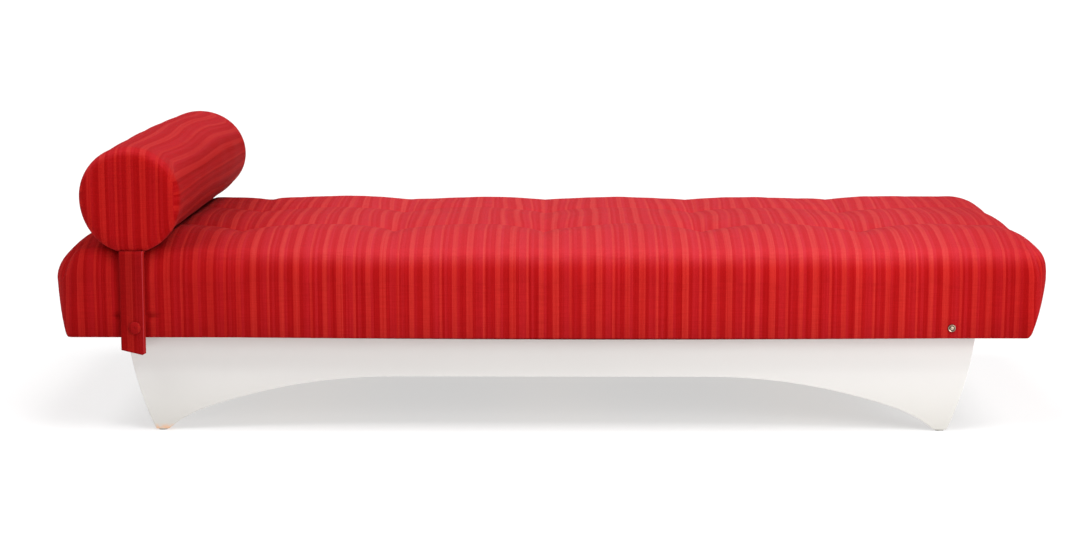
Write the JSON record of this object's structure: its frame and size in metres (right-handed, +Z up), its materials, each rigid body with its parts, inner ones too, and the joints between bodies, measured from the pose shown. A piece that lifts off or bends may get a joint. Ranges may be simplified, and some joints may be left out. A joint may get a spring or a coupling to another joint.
{
  "type": "backless divan",
  "caption": "Backless divan: tufted striped mattress unit on a white arched base, with a round bolster held by buttoned straps.",
  "frame": {"origin": "centre of the footprint, on the floor", "axes": "+X along the divan, towards the end without the bolster; the front faces -Y; +Z up"},
  "size_m": [2.03, 0.846, 0.5943],
  "materials": {
    "white_lacquer": "satin",
    "pine": "matte",
    "plywood": "matte",
    "zinc_steel": "satin",
    "nylon": "matte",
    "foam": "matte",
    "twine": "matte",
    "striped_wool": "matte",
    "dust_cloth": "matte",
    "nickel_stud": "satin"
  },
  "bodies": {
    "base": {"front_panel": "white_lacquer", "back_panel": "white_lacquer", "left_end_panel": "white_lacquer", "right_end_panel": "white_lacquer", "corner_blocks": "pine", "block_screws": "zinc_steel", "front_cleat": "pine", "back_cleat": "pine", "cleat_screws": "zinc_steel", "cross_bearers": "pine", "bearer_screws": "zinc_steel", "foot_glides": "nylon"},
    "mattress": {"front_rail": "pine", "back_rail": "pine", "left_rail": "pine", "right_rail": "pine", "middle_rails": "pine", "rail_screws": "zinc_steel", "deck_board": "plywood", "foam_core": "foam", "tuft_twines": "twine", "tuft_washers": "zinc_steel", "mattress_cover": "striped_wool", "dust_cover": "dust_cloth", "locating_battens": "pine", "batten_screws": "zinc_steel", "front_studs": "nickel_stud", "back_studs": "nickel_stud"},
    "bolster": {"bolster_cover": "striped_wool", "bolster_front_disc": "striped_wool", "bolster_back_disc": "striped_wool", "bolster_core": "foam", "front_strap_tab": "striped_wool", "back_strap_tab": "striped_wool"},
    "front_strap": {"front_strap": "striped_wool", "front_cap": "striped_wool", "front_socket": "nickel_stud"},
    "back_strap": {"back_strap": "striped_wool", "back_cap": "striped_wool", "back_socket": "nickel_stud"}
  },
  "joints": [
    {"name": "mattress_lift", "type": "slide", "parent": "base", "child": "mattress", "axis": [0, 0, 1], "range_m": [0, 0.25]},
    {"name": "bolster_lift", "type": "slide", "parent": "mattress", "child": "bolster", "axis": [0, 0, 1], "range_m": [0, 0.25]},
    {"name": "front_strap_fold", "type": "hinge", "parent": "bolster", "child": "front_strap", "pos_m": [-0.845, -0.4155, 0.3888], "axis": [-1, 0, 0], "range_deg": [0, 100]},
    {"name": "back_strap_fold", "type": "hinge", "parent": "bolster", "child": "back_strap", "pos_m": [-0.845, 0.4155, 0.3888], "axis": [1, 0, 0], "range_deg": [0, 100]}
  ]
}
